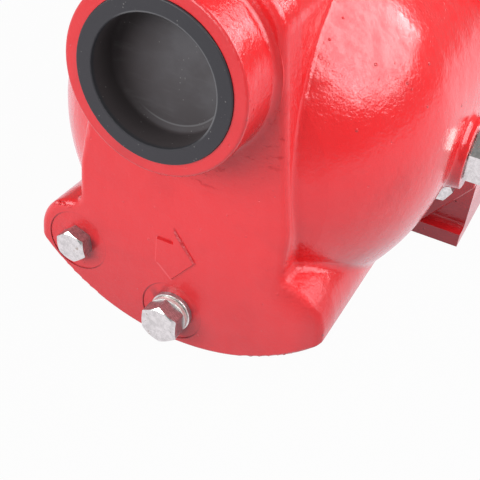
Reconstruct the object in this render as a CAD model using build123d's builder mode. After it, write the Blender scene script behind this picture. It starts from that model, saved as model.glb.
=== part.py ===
import os
from math import atan2, cos, degrees, hypot, radians, sin, sqrt, tan

from build123d import *

os.makedirs("parts", exist_ok=True)

# Shallow well jet pump, in millimetres.
# +Z is up, the suction port faces -Y and the origin lies on the floor
# in the middle of the four foot slots, under the shaft.

# Overall places
shaft_height = 76.2
port_above_shaft = 33.7
nose_to_feet = 175.4
casing_length = 118.6
seat_gap = 0.3
bolt_gap = 0.1

# Foot
foot_half_width = 69.9
foot_thickness = 6.0
toe_length = 5.8
toe_root_round = 2.5
web_thickness = 6.5
web_top = 62.0
web_corner_round = 8.0
web_opening = 44.0
slot_spacing_x = 107.95
slot_spacing_y = 69.85
slot_radius = 4.4
slot_length = 14.0
slot_to_rear = 11.7
gusset_height = 38.0
gusset_depth = 34.0
gusset_thickness = 5.0

# Casing bulb, the round pressure chamber behind the nose, a little to the left of the shaft
bulb_offset = -1.0
bulb_setback = 62.0
bulb_drop = 5.5
bulb_radius = 68.2
floor_gap = 5.0

# Nose
nose_radius = 70.3
nose_edge_round = 0.8
tower_base_half_width = 36.8
tower_base_drop = 45.9
tower_port_half_width = 30.8
tower_port_drop = 7.7
tower_top_half_width = 26.2
tower_top_rise = 25.2
tower_base_round = 30.0
tower_crown_round = 14.0
tower_edge_round = 2.5
nose_root_round = 2.6
nose_bolt_circle = 57.8
lug_angle = 49.8
left_lug_radius = 15.3
right_lobe_radius = 15.3
lug_corner_round = 4.0
spot_face_radius = 11.1
spot_face_depth = 0.3

# Raised arrow under the port
arrow_left = -6.9
arrow_drop = 34.3
arrow_tail_length = 6.0
arrow_tail_width = 10.0
arrow_head_length = 8.2
arrow_head_width = 20.5
arrow_height = 0.8
arrow_taper = 20.0

# Suction port and its plug
port_offset = -1.6
boss_radius = 28.07
boss_length = 16.2
boss_edge_round = 0.9
boss_root_round = 2.2
port_radius = 24.0
port_depth = 22.0
plug_proud = 0.7
plug_edge_round = 0.4
plug_cup_radius = 19.1
plug_cup_depth = 11.4
plug_cup_round = 2.0
plug_length = 17.0

# Discharge and priming ports on top
discharge_boss_radius = 25.0
discharge_rise = 25.0
discharge_root_round = 5.0
root_sink = 0.1
discharge_radius = 15.1
discharge_depth = 34.0
prime_setback = 24.0
prime_boss_radius = 14.5
prime_rise = 7.0
prime_thread_radius = 8.4
prime_square = 11.2
prime_head = 9.5
prime_chamfer = 0.8
prime_thread_length = 12.0
boss_top_round = 1.0

# Side tappings
side_boss_setback = 78.0
side_boss_drop = 10.0
side_boss_radius = 12.6
side_boss_taper = 8.0
side_boss_reach = 71.8
side_boss_edge_round = 0.5
side_boss_root_round = 2.5
side_plug_flats = 17.5
side_plug_head = 7.6
side_plug_gap = 0.4
side_plug_turn = 35.0
side_plug_radius = 6.9
side_plug_thread = 11.0

# Rear flange of the casing
flange_step = 0.6
flange_thickness = 7.0
flange_edge_round = 1.0
flange_bolt_circle = 62.2
flange_spot_margin = 1.5
flange_spot_reach = 18.0

# Seal plate
plate_thickness = 5.4
plate_clip = 84.3
plate_clip_angle = 37.2
plate_bolt_x = 57.0
plate_bolt_z = 49.9
plate_edge_chamfer = 0.5

# Fasteners
head_top_share = 0.95
head_top_slope = 60.0
nose_small_flats = 10.5
nose_small_head = 4.84
nose_small_shank = 3.2
nose_large_flats = 12.7
nose_large_head = 5.3
nose_large_shank = 4.0
flat_washer_radius = 7.9
flat_washer_thickness = 1.6
lock_washer_radius = 7.4
lock_washer_thickness = 2.1
nose_shank_length = 22.0
tap_relief = 1.0
small_flats = 10.0
small_head = 4.0
small_shank = 3.0
plate_shank_length = 18.0

# Motor
bell_length = 24.0
bell_ear_thickness = 9.0
vent_length = 11.0
vent_width = 4.0
vent_depth = 3.5
vent_pitch = 8.0
vents_per_side = 5
vent_margin = 2.5
shell_step = 1.4
shell_length = 150.0
rear_bell_length = 28.0
rear_bell_straight = 8.0
rear_bell_face_radius = 52.0
cover_radius = 50.0
cover_length = 26.0
cover_edge_round = 6.0
cover_lip = 2.0
cover_lip_width = 1.5
through_circle = 60.0
through_boss_radius = 7.0
through_flats = 8.0
through_head = 3.6
through_stud_radius = 2.4
through_stud_depth = 18.0
capacitor_width = 48.0
capacitor_height = 36.0
capacitor_length = 104.0
capacitor_round = 12.0
capacitor_flange = 9.0
capacitor_skin = 1.6

# Places worked out from the sizes above
port_z = shaft_height + port_above_shaft
nose_y = -nose_to_feet
plate_y = nose_y + casing_length
web_y = plate_y + plate_thickness
bell_y = web_y + web_thickness
shell_y = bell_y + bell_length
rear_bell_y = shell_y + shell_length
cover_y = rear_bell_y + rear_bell_length
bulb_y = nose_y + bulb_setback
bulb_z = shaft_height - bulb_drop
side_boss_y = nose_y + side_boss_setback
side_boss_z = shaft_height - side_boss_drop
prime_y = nose_y + prime_setback
bell_radius = shaft_height - foot_thickness - seat_gap
shell_radius = bell_radius - shell_step
flange_radius = bell_radius - flange_step
bell_ear_radius = foot_half_width - gusset_thickness - plate_bolt_x - seat_gap


def facing_front(y):
    """A plane across the shaft at y, seen from the front: X right, Z up."""
    return Plane.XZ.offset(-y)


def on_circle(radius, angle):
    """A point round the shaft, as X and height."""
    x = radius * cos(radians(angle))
    z = shaft_height + radius * sin(radians(angle))
    return (x, z)


def front_seat(x, y, z):
    """A plane that faces the front with its origin at a bolt's seat."""
    return Plane((x, y, z), x_dir=(1, 0, 0), z_dir=(0, -1, 0))


def save(part, label):
    part.label = label
    export_step(part, f"parts/{label}.step")


def hex_bolt(label, place, flats, head, shank_radius, shank_length, stand_off=0.0, turn=0.0):
    """A hex bolt whose head sits stand_off above the place's plane, turned about its axis."""
    seat = place.offset(stand_off)
    head_top = flats / 2 * head_top_share
    with BuildPart(seat) as bolt:
        with BuildSketch(seat):
            RegularPolygon(radius=flats / 2, side_count=6, major_radius=False, rotation=turn)
        extrude(amount=head)
        Cone(
            bottom_radius=head_top + head * tan(radians(head_top_slope)),
            top_radius=head_top,
            height=head,
            align=(Align.CENTER, Align.CENTER, Align.MIN),
            mode=Mode.INTERSECT,
        )
        with BuildSketch(seat):
            Circle(shank_radius)
        extrude(amount=-shank_length - stand_off)
    save(bolt.part, label)


def washer(label, place, outer, inner, thickness, stand_off=0.0):
    seat = place.offset(stand_off)
    with BuildPart(seat) as ring:
        with BuildSketch(seat):
            Circle(outer)
            Circle(inner, mode=Mode.SUBTRACT)
        extrude(amount=thickness)
    save(ring.part, label)


# Casing
left_lug = on_circle(nose_bolt_circle, lug_angle - 180)
right_lobe = on_circle(nose_bolt_circle, -lug_angle)
bottom_bolt = on_circle(nose_bolt_circle, -90)
nose_plane = facing_front(nose_y)
lug_left_x = left_lug[0] - left_lug_radius
lug_right_x = right_lobe[0] + right_lobe_radius

# The bulb is a ball that runs on as a straight barrel to the middle of the seal plate
bulb_centre = Vector(bulb_offset, bulb_y, bulb_z)
barrel_end = Vector(0, plate_y, shaft_height)
barrel_way = (barrel_end - bulb_centre).normalized()
barrel_reach = (barrel_end - bulb_centre).length + bulb_drop
bulb_top = bulb_z + bulb_radius
discharge_top = bulb_top + discharge_rise

# The nose face: a tower round the suction port that flares down to a disc with two lugs
crown_radius = hypot(tower_top_half_width, tower_top_rise)
with BuildSketch(nose_plane) as nose_face:
    with BuildLine():
        base = (tower_base_half_width, port_z - tower_base_drop)
        middle = (tower_port_half_width, port_z - tower_port_drop)
        top = (tower_top_half_width, port_z + tower_top_rise)
        ThreePointArc(base, middle, top)
        crown = RadiusArc(top, (0, port_z + crown_radius), crown_radius)
        Polyline(base, (tower_base_half_width, left_lug[1]), (0, left_lug[1]), crown @ 1)
    make_face()
    fillet(nose_face.vertices().group_by(Axis.X)[-1].sort_by(Axis.Y)[-1], tower_base_round)
    fillet(nose_face.vertices().sort_by_distance(top)[0], tower_crown_round)
    mirror(about=Plane.YZ)
    with Locations(left_lug):
        Circle(left_lug_radius)
    with Locations(right_lobe):
        Circle(right_lobe_radius)
    with Locations(((lug_left_x + lug_right_x) / 2, left_lug[1])):
        Rectangle(lug_right_x - lug_left_x, nose_radius, align=(Align.CENTER, Align.MAX))
    side_corners = nose_face.vertices().filter_by(lambda v: abs(abs(v.X) - tower_base_half_width) < bolt_gap)
    fillet(side_corners.sort_by(Axis.Y)[:2], lug_corner_round)
    with BuildSketch(mode=Mode.SUBTRACT):
        with Locations((0, left_lug[1])):
            Rectangle(3 * nose_radius, 2 * nose_radius, align=(Align.CENTER, Align.MAX))
        with Locations((0, shaft_height)):
            Circle(nose_radius, mode=Mode.SUBTRACT)
prime_top = port_z + crown_radius + prime_rise

# Suction boss, with its root flared into the tower
port_centre = Vector(port_offset, nose_y, port_z)
with BuildPart() as suction_boss:
    with BuildSketch(Plane(port_centre, x_dir=(1, 0, 0), z_dir=(0, 0, 1))):
        with BuildLine():
            root = CenterArc((boss_radius + boss_root_round, -boss_root_round), boss_root_round, 90, 90)
            Polyline(
                root @ 1, (0, -boss_root_round), (0, boss_root_round / 2),
                (boss_radius + boss_root_round, boss_root_round / 2), root @ 0,
            )
        make_face()
    revolve(axis=Axis(port_centre, (0, 1, 0)))
    extrude(nose_face.sketch, amount=boss_length, both=True, mode=Mode.INTERSECT)
    with BuildSketch(nose_plane):
        with Locations((port_offset, port_z)):
            Circle(boss_radius)
    extrude(amount=boss_length)
    fillet(suction_boss.faces().sort_by(Axis.Y)[0].edges(), boss_edge_round)

with BuildPart() as casing:
    # Nose, with its front edges rounded: more along the tower, less round the disc
    extrude(nose_face.sketch, amount=-bulb_setback)
    face_edges = casing.faces().sort_by(Axis.Y)[0].edges()
    fillet(face_edges.filter_by(lambda e: e.center().Z > left_lug[1]), tower_edge_round)
    face_edges = casing.faces().sort_by(Axis.Y)[0].edges()
    fillet(face_edges.filter_by(lambda e: e.center().Z < left_lug[1]), nose_edge_round)

    # Bulb and barrel, cut flat in front, at the seal plate and underneath
    with BuildSketch(Plane(bulb_centre, x_dir=barrel_way, z_dir=barrel_way.cross(Vector(0, 0, 1)))):
        with BuildLine():
            ball = CenterArc((0, 0), bulb_radius, 90, 90)
            Polyline(ball @ 1, (barrel_reach, 0), (barrel_reach, bulb_radius), ball @ 0)
        make_face()
    revolve(axis=Axis(bulb_centre, barrel_way))
    roots = casing.edges(Select.NEW).filter_by(lambda e: e.center().Z < port_z)
    fillet(roots.filter_by(lambda e: nose_y + 1 < e.center().Y < bulb_y - nose_root_round), nose_root_round)
    split(bisect_by=nose_plane, keep=Keep.BOTTOM)
    split(bisect_by=facing_front(plate_y), keep=Keep.TOP)
    split(bisect_by=Plane.XY.offset(floor_gap), keep=Keep.TOP)

    # Discharge boss on top, with its root flared into the bulb
    flare_x = discharge_boss_radius + discharge_root_round
    flare_z = sqrt((bulb_radius + discharge_root_round) ** 2 - flare_x**2) - root_sink
    flare_turn = degrees(atan2(flare_z, flare_x))
    with BuildSketch(Plane(bulb_centre, x_dir=(1, 0, 0), z_dir=(0, -1, 0))) as boss_half:
        with BuildLine():
            flare = CenterArc((flare_x, flare_z), discharge_root_round, 180, flare_turn)
            boss_corner = (discharge_boss_radius, bulb_radius + discharge_rise)
            Polyline(flare @ 0, boss_corner, (0, boss_corner[1]), (0, (flare @ 1).Y), flare @ 1)
        make_face()
        fillet(boss_half.vertices().sort_by_distance(boss_corner)[0], boss_top_round)
    revolve(axis=Axis(bulb_centre, (0, 0, 1)))

    # Rear flange, a little larger than the barrel, with its front edge rounded
    with BuildSketch(Plane(barrel_end, x_dir=(1, 0, 0), z_dir=(0, 0, -1))) as flange_half:
        Rectangle(flange_radius, flange_thickness, align=Align.MIN)
        flange_corner = (flange_radius, flange_thickness)
        fillet(flange_half.vertices().sort_by_distance(flange_corner)[0], flange_edge_round)
    revolve(axis=Axis(barrel_end, (0, 1, 0)))

    # Side tappings
    for side in (-1, 1):
        with BuildSketch(Plane.YZ.offset(bulb_offset + side * side_boss_reach)):
            with Locations((side_boss_y, side_boss_z)):
                Circle(side_boss_radius)
        extrude(amount=-side * side_boss_reach, taper=-side_boss_taper)
        outermost = -1 if side > 0 else 0
        boss_rim = bulb_offset + side * side_boss_reach
        boss_roots = casing.edges(Select.NEW).filter_by(lambda e: abs(e.center().X - boss_rim) > 1)
        fillet(boss_roots, side_boss_root_round)
        fillet(casing.faces().sort_by(Axis.X)[outermost].edges(), side_boss_edge_round)

    # Priming boss and suction boss
    with BuildSketch(Plane.XY.offset(port_z)):
        with Locations((0, prime_y)):
            Circle(prime_boss_radius)
    extrude(amount=prime_top - port_z)
    add(suction_boss.part)

    # Ports and bolt holes
    with BuildSketch(nose_plane.offset(boss_length)):
        with Locations((port_offset, port_z)):
            Circle(port_radius)
    extrude(amount=-port_depth, mode=Mode.SUBTRACT)
    with BuildSketch(Plane.XY.offset(discharge_top)):
        with Locations((bulb_offset, bulb_y)):
            Circle(discharge_radius)
    extrude(amount=-discharge_depth, mode=Mode.SUBTRACT)
    with BuildSketch(Plane.XY.offset(prime_top)):
        with Locations((0, prime_y)):
            Circle(prime_thread_radius + bolt_gap)
    extrude(amount=-prime_thread_length - tap_relief, mode=Mode.SUBTRACT)
    for side in (-1, 1):
        with BuildSketch(Plane.YZ.offset(bulb_offset + side * side_boss_reach)):
            with Locations((side_boss_y, side_boss_z)):
                Circle(side_plug_radius + bolt_gap)
        extrude(amount=-side * (side_plug_thread + tap_relief), mode=Mode.SUBTRACT)
    with BuildSketch(nose_plane):
        with Locations(left_lug, bottom_bolt):
            Circle(spot_face_radius)
    extrude(amount=-spot_face_depth, mode=Mode.SUBTRACT)
    with BuildSketch(nose_plane):
        with Locations(left_lug):
            Circle(nose_small_shank + bolt_gap)
        with Locations(bottom_bolt):
            Circle(nose_large_shank + bolt_gap)
    extrude(amount=-nose_shank_length - tap_relief, mode=Mode.SUBTRACT)
    with BuildSketch(facing_front(plate_y)):
        with Locations((0, shaft_height)):
            with PolarLocations(flange_bolt_circle, 4, start_angle=45):
                Circle(small_shank + bolt_gap)
    extrude(amount=flange_thickness, mode=Mode.SUBTRACT)
    with BuildSketch(facing_front(plate_y - flange_thickness)):
        with Locations((0, shaft_height)):
            with PolarLocations(flange_bolt_circle, 4, start_angle=45):
                Circle(small_flats / sqrt(3) + flange_spot_margin)
    extrude(amount=flange_spot_reach, mode=Mode.SUBTRACT)

    # Raised arrow that shows the way the shaft turns
    head_x = arrow_left + arrow_tail_length
    arrow_z = shaft_height - arrow_drop
    with BuildSketch(nose_plane):
        Polygon(
            (arrow_left, arrow_z + arrow_tail_width / 2),
            (head_x, arrow_z + arrow_tail_width / 2),
            (head_x, arrow_z + arrow_head_width / 2),
            (head_x + arrow_head_length, arrow_z),
            (head_x, arrow_z - arrow_head_width / 2),
            (head_x, arrow_z - arrow_tail_width / 2),
            (arrow_left, arrow_z - arrow_tail_width / 2),
            align=None,
        )
    extrude(amount=arrow_height, taper=arrow_taper)
save(casing.part, "pump_casing")

# Suction port plug, a black cup pressed into the port that stands a little proud
plug_face = nose_plane.offset(boss_length + plug_proud)
with BuildPart() as plug:
    with BuildSketch(plug_face):
        with Locations((port_offset, port_z)):
            Circle(port_radius - bolt_gap)
    extrude(amount=-plug_length)
    with BuildSketch(plug_face):
        with Locations((port_offset, port_z)):
            Circle(plug_cup_radius)
    extrude(amount=-plug_cup_depth, mode=Mode.SUBTRACT)
    circles = plug.edges().filter_by(GeomType.CIRCLE)
    cup_circles = circles.filter_by(lambda e: abs(e.radius - plug_cup_radius) < bolt_gap)
    fillet(cup_circles.sort_by(Axis.Y)[-1], plug_cup_round)
    fillet(plug.faces().sort_by(Axis.Y)[0].edges(), plug_edge_round)
save(plug.part, "suction_port_plug")

# Nose bolts
left_place = front_seat(left_lug[0], nose_y + spot_face_depth, left_lug[1])
bottom_place = front_seat(bottom_bolt[0], nose_y + spot_face_depth, bottom_bolt[1])
hex_bolt(
    "left_nose_bolt", left_place, nose_small_flats, nose_small_head,
    nose_small_shank, nose_shank_length,
)
washers = flat_washer_thickness + lock_washer_thickness
hex_bolt(
    "bottom_nose_bolt", bottom_place, nose_large_flats, nose_large_head,
    nose_large_shank, nose_shank_length, washers,
)
washer(
    "bottom_bolt_flat_washer", bottom_place, flat_washer_radius,
    nose_large_shank + bolt_gap, flat_washer_thickness,
)
washer(
    "bottom_bolt_lock_washer", bottom_place, lock_washer_radius,
    nose_large_shank + bolt_gap, lock_washer_thickness, flat_washer_thickness,
)

# Side plugs: hex head, a short neck and the thread in the boss
for side, name in ((1, "right_side_plug"), (-1, "left_side_plug")):
    seat_x = bulb_offset + side * side_boss_reach
    seat = Plane((seat_x, side_boss_y, side_boss_z), x_dir=(0, side, 0), z_dir=(side, 0, 0))
    hex_bolt(
        name, seat, side_plug_flats, side_plug_head,
        side_plug_radius, side_plug_thread, side_plug_gap, side_plug_turn,
    )

# Priming plug with a square head
with BuildPart() as prime_plug:
    with BuildSketch(Plane.XY.offset(prime_top)):
        with Locations((0, prime_y)):
            Rectangle(prime_square, prime_square)
    extrude(amount=prime_head)
    chamfer(prime_plug.faces().sort_by(Axis.Z)[-1].edges(), prime_chamfer)
    with BuildSketch(Plane.XY.offset(prime_top)):
        with Locations((0, prime_y)):
            Circle(prime_thread_radius)
    extrude(amount=-prime_thread_length)
save(prime_plug.part, "priming_plug")

# Casing flange bolts
for number in range(4):
    x, z = on_circle(flange_bolt_circle, 45 + 90 * number)
    hex_bolt(
        f"casing_flange_bolt_{number + 1}", front_seat(x, plate_y - flange_thickness, z),
        small_flats, small_head, small_shank, flange_thickness + plate_thickness / 2,
    )

# Seal plate, a rectangle with clipped corners between casing and motor
with BuildPart() as seal_plate:
    with BuildSketch(facing_front(web_y)):
        with Locations((0, shaft_height)):
            Rectangle(2 * foot_half_width, 2 * bell_radius)
            for side_x in (-1, 1):
                for side_z in (-1, 1):
                    turn = plate_clip_angle if side_x * side_z > 0 else -plate_clip_angle
                    clip_x = side_x * plate_clip * cos(radians(plate_clip_angle))
                    clip_z = side_z * plate_clip * sin(radians(plate_clip_angle))
                    align_x = Align.MIN if side_x > 0 else Align.MAX
                    with Locations(Location((clip_x, clip_z, 0), (0, 0, turn))):
                        Rectangle(
                            foot_half_width, 3 * foot_half_width,
                            align=(align_x, Align.CENTER), mode=Mode.SUBTRACT,
                        )
            with GridLocations(2 * plate_bolt_x, 2 * plate_bolt_z, 2, 2):
                Circle(small_shank + bolt_gap, mode=Mode.SUBTRACT)
            with PolarLocations(flange_bolt_circle, 4, start_angle=45):
                Circle(small_shank + bolt_gap, mode=Mode.SUBTRACT)
    extrude(amount=plate_thickness)
    chamfer(seal_plate.faces().sort_by(Axis.Y)[0].outer_wire().edges(), plate_edge_chamfer)
    # The lower rear edge clears the round at the root of the foot's toe
    plate_foot = (0, web_y, shaft_height - bell_radius)
    lower_edge = seal_plate.edges().filter_by(Axis.X).sort_by_distance(plate_foot)[0]
    chamfer(lower_edge, toe_root_round)
save(seal_plate.part, "seal_plate")

# Seal plate bolts, through the plate into the motor's front bell
for number, (side_x, side_z) in enumerate(((1, -1), (1, 1), (-1, 1), (-1, -1)), start=1):
    seat = front_seat(side_x * plate_bolt_x, plate_y, shaft_height + side_z * plate_bolt_z)
    hex_bolt(f"seal_plate_bolt_{number}", seat, small_flats, small_head, small_shank, plate_shank_length)

# Mounting foot: base plate with a toe in front, an upright web and two gussets
foot_front = web_y - toe_length
foot_rear = slot_spacing_y / 2 + slot_to_rear
with BuildPart() as foot:
    with BuildSketch(Plane.XY):
        with Locations((0, foot_front)):
            Rectangle(2 * foot_half_width, foot_rear - foot_front, align=(Align.CENTER, Align.MIN))
        with GridLocations(slot_spacing_x, slot_spacing_y, 2, 2):
            SlotOverall(slot_length, 2 * slot_radius, mode=Mode.SUBTRACT)
    extrude(amount=foot_thickness)
    with BuildSketch(facing_front(bell_y)):
        Rectangle(2 * foot_half_width, web_top, align=(Align.CENTER, Align.MIN))
        with Locations((0, shaft_height)):
            Circle(web_opening, mode=Mode.SUBTRACT)
            with Locations((plate_bolt_x, -plate_bolt_z), (-plate_bolt_x, -plate_bolt_z)):
                Circle(small_shank + bolt_gap, mode=Mode.SUBTRACT)
    extrude(amount=web_thickness)
    web_corners = foot.edges().filter_by(Axis.Y).group_by(Axis.Z)[-1].sort_by(Axis.X)
    fillet([web_corners[0], web_corners[-1]], web_corner_round)
    toe_root = foot.edges().filter_by(Axis.X).sort_by_distance((0, web_y, foot_thickness))[0]
    fillet(toe_root, toe_root_round)
    for side in (-1, 1):
        with BuildSketch(Plane.YZ.offset(side * foot_half_width)):
            with Locations((bell_y, foot_thickness)):
                Polygon((0, 0), (gusset_depth, 0), (0, gusset_height), align=None)
        extrude(amount=-side * gusset_thickness)
save(foot.part, "mounting_foot")

# Motor front bell: a neck to the seal plate, the bell, its vents and four ears for the plate bolts
with BuildPart() as front_bell:
    with BuildSketch(facing_front(shell_y)):
        with Locations((0, shaft_height)):
            Circle(bell_radius)
    extrude(amount=bell_length)
    with BuildSketch(facing_front(bell_y)):
        with Locations((0, shaft_height)):
            Circle(web_opening - seat_gap)
    extrude(amount=web_thickness)
    with BuildSketch(facing_front(bell_y + bell_ear_thickness)):
        with Locations((0, shaft_height)):
            with GridLocations(2 * plate_bolt_x, 2 * plate_bolt_z, 2, 2):
                Circle(bell_ear_radius)
        make_hull()
    extrude(amount=bell_ear_thickness)
    with BuildSketch(facing_front(bell_y)):
        with Locations((0, shaft_height)):
            with Locations((plate_bolt_x, plate_bolt_z), (-plate_bolt_x, plate_bolt_z)):
                Circle(bell_ear_radius)
    extrude(amount=web_thickness)
    with BuildSketch(facing_front(web_y)):
        with Locations((0, shaft_height)):
            with GridLocations(2 * plate_bolt_x, 2 * plate_bolt_z, 2, 2):
                Circle(small_shank + bolt_gap)
    extrude(amount=-plate_shank_length, mode=Mode.SUBTRACT)
    vent_step = degrees(vent_pitch / bell_radius)
    with BuildSketch(facing_front(shell_y - vent_margin)):
        with Locations((0, shaft_height)):
            for side in (0, 180):
                for step in range(vents_per_side):
                    turn = side + vent_step * (step - (vents_per_side - 1) / 2)
                    with PolarLocations(bell_radius, 1, start_angle=turn):
                        Rectangle(2 * vent_depth, vent_width)
    extrude(amount=vent_length, mode=Mode.SUBTRACT)
save(front_bell.part, "motor_front_bell")

# Motor shell, a rolled steel tube closed by the bells, solid inside
with BuildPart() as shell:
    with BuildSketch(facing_front(rear_bell_y)):
        with Locations((0, shaft_height)):
            Circle(shell_radius)
    extrude(amount=shell_length)
save(shell.part, "motor_shell")

# Rear bell, drawn in towards the terminal cover in one round
shell_end = Vector(0, rear_bell_y, shaft_height)
with BuildPart() as rear_bell:
    with BuildSketch(Plane(shell_end, x_dir=(1, 0, 0), z_dir=(0, 0, 1))):
        with BuildLine():
            bell_side = Line((bell_radius, 0), (bell_radius, rear_bell_straight))
            face_corner = (rear_bell_face_radius, rear_bell_length)
            shoulder = TangentArc(bell_side @ 1, face_corner, tangent=bell_side % 1)
            Polyline(shoulder @ 1, (0, rear_bell_length), (0, 0), bell_side @ 0)
        make_face()
    revolve(axis=Axis(shell_end, (0, 1, 0)))
    with BuildSketch(facing_front(cover_y)):
        with Locations((0, shaft_height)):
            with PolarLocations(through_circle, 4, start_angle=45):
                Circle(through_boss_radius)
    extrude(amount=rear_bell_length)
    with BuildSketch(facing_front(cover_y)):
        with Locations((0, shaft_height)):
            with PolarLocations(through_circle, 4, start_angle=45):
                Circle(through_stud_radius + bolt_gap)
    extrude(amount=through_stud_depth, mode=Mode.SUBTRACT)
save(rear_bell.part, "motor_rear_bell")

for number in range(4):
    x, z = on_circle(through_circle, 45 + 90 * number)
    seat = Plane((x, cover_y, z), x_dir=(-1, 0, 0), z_dir=(0, 1, 0))
    hex_bolt(
        f"motor_through_bolt_{number + 1}", seat, through_flats, through_head,
        through_stud_radius, through_stud_depth - bolt_gap,
    )

# Terminal cover on the rear bell, a pressed cap with a turned-out lip
with BuildPart() as cover:
    with BuildSketch(facing_front(cover_y)):
        with Locations((0, shaft_height)):
            Circle(cover_radius)
    extrude(amount=-cover_length)
    fillet(cover.faces().sort_by(Axis.Y)[-1].edges(), cover_edge_round)
    with BuildSketch(facing_front(cover_y)):
        with Locations((0, shaft_height)):
            Circle(cover_radius + cover_lip_width)
    extrude(amount=-cover_lip)
save(cover.part, "motor_terminal_cover")

# Capacitor cover, a pressed dome along the top of the shell with flanges that follow it
capacitor_y = shell_y + (shell_length - capacitor_length) / 2
with BuildPart() as capacitor:
    with BuildSketch(facing_front(capacitor_y)):
        with Locations((0, shaft_height)):
            Rectangle(capacitor_width, shell_radius + capacitor_height, align=(Align.CENTER, Align.MIN))
            Circle(shell_radius, mode=Mode.SUBTRACT)
    extrude(amount=-capacitor_length)
    fillet(capacitor.faces().sort_by(Axis.Z)[-1].edges(), capacitor_round)
    with BuildSketch(facing_front(capacitor_y)):
        with Locations((0, shaft_height)):
            Circle(shell_radius + capacitor_skin)
            Circle(shell_radius, mode=Mode.SUBTRACT)
            Rectangle(
                capacitor_width + 2 * capacitor_flange, shell_radius + capacitor_height,
                align=(Align.CENTER, Align.MIN), mode=Mode.INTERSECT,
            )
    extrude(amount=-capacitor_length)
save(capacitor.part, "capacitor_cover")
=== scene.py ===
import math
import random

import bmesh
import bpy
from bpy.props import FloatProperty, FloatVectorProperty, PointerProperty
from bpy.types import Operator, Panel, PropertyGroup
from mathutils import Matrix, Vector, noise


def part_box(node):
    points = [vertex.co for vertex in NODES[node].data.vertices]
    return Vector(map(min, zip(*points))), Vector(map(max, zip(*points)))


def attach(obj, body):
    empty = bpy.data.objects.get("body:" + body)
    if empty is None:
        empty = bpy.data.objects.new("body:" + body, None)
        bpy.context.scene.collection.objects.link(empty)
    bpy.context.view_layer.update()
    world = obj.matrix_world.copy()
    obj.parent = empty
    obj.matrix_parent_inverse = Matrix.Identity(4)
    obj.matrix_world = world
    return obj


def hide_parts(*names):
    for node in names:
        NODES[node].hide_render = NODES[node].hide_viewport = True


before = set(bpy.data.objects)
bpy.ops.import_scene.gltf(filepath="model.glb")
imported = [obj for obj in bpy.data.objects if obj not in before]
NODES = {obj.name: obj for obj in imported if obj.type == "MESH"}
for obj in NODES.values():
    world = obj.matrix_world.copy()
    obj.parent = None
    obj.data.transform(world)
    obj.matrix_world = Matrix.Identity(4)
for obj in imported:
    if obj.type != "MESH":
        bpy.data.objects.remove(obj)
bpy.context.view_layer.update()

bl_info = {
    "name": "Shallow Well Jet Pump",
    "version": (1, 0, 0),
    "blender": (4, 5, 0),
    "location": "3D View > Sidebar > Jet Pump",
    "description": "Finishes a cast iron jet pump in red, zinc and black, and sets it in a pale studio",
    "category": "Object",
}

MM = 0.001

CAST_NODES = ("pump_casing", "seal_plate", "mounting_foot")
MOTOR_NODES = (
    "motor_front_bell", "motor_shell", "motor_rear_bell", "motor_terminal_cover", "capacitor_cover",
)
BOLT_NODES = tuple(n for n in NODES if "bolt" in n)
PLUG_NODES = ("right_side_plug", "left_side_plug", "priming_plug")

# Places on the pump, in metres
SHAFT_Z = 0.0762
NOSE_Y = -0.1754
PORT = Vector((-0.0016, -0.1916, 0.1099))
BULB = Vector((-0.001, -0.1134, 0.0707))
NOSE_RADIUS = 0.0703
BOLT_CIRCLE = 0.0578
LEFT_BOLT_ANGLE = 49.8 - 180.0
BOTTOM_BOLT_ANGLE = -90.0
SPOT_DEPTH = 0.0003
SPOT_RADIUS = 0.0111
SHANK_LENGTH = 0.022
OUT = Vector((0.0, -1.0, 0.0))
DISCHARGE_TOP = 0.1639
LOBE_CORNER = Vector((0.0445, NOSE_Y + 0.004, 0.0465))
TOWER_CREASE = Vector((0.031, -0.157, 0.113))

# Radii round the suction port: the plug's cup, its mouth and the painted highlight line round its bottom,
# then the outer edge of the machined ring, and the hollow under the boss
CUP_RADIUS = 0.0190
CUP_MOUTH_RADIUS = 0.01925
CUP_LINE_RADIUS = 0.0172
RING_RADIUS = 0.0276
HOLLOW_RADIUS = 0.0345

# How far the darkening under each nose bolt's head reaches, part soil and part painted shade
LEFT_SMUDGE_SHADE = 0.0068
BOTTOM_SMUDGE_SHADE = 0.0092

# The raised arrow's edges on the nose, as pairs of x and z
ARROW_TOP = ((-0.0009, 0.0521), (0.0073, 0.0419))
ARROW_TAIL_TOP = ((-0.0069, 0.0469), (-0.0016, 0.0469))
ARROW_BACK = ((-0.0069, 0.0469), (-0.0069, 0.0369))
ARROW_HEEL = ((-0.0069, 0.0369), (-0.0009, 0.0317))

# A sag of paint on the left lug's upper edge: x and z in metres, length and height in millimetres
PAINT_SAG = ((-0.0452, 0.0443, 2.8, 0.75), (-0.0431, 0.0449, 2.4, 0.6), (-0.0408, 0.0448, 2.6, 0.7))
PAINT_SAG_TILT = 98.0

# Flash on the nose's lower rim: angle round the shaft, length and height in millimetres
RIM_FLASH = (
    (-54.0, 2.0, 0.45), (-51.5, 1.6, 0.4), (-64.5, 1.3, 0.3),
    (-124.0, 1.5, 0.35), (-97.0, 1.1, 0.2), (-112.0, 1.4, 0.25),
)

# Paler marks on the port plug: streaks in its cup, a painted highlight on the line round the bottom and on
# the upper right of its mouth, and dust
PLUG_STREAK = (0.16, 0.155, 0.16)
PLUG_LINE_HIGHLIGHT = (0.28, 0.28, 0.29)
PLUG_MOUTH_HIGHLIGHT = (0.22, 0.22, 0.23)
PLUG_DUST = (0.30, 0.29, 0.28)

# Dust on the motor, and rust in the discharge port
MOTOR_DUST = (0.12, 0.12, 0.12)
RUST = (0.16, 0.07, 0.035)


def round_shaft(radius, angle, y):
    """A point at an angle round the shaft."""
    turn = math.radians(angle)
    return Vector((radius * math.cos(turn), y, SHAFT_Z + radius * math.sin(turn)))


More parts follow.
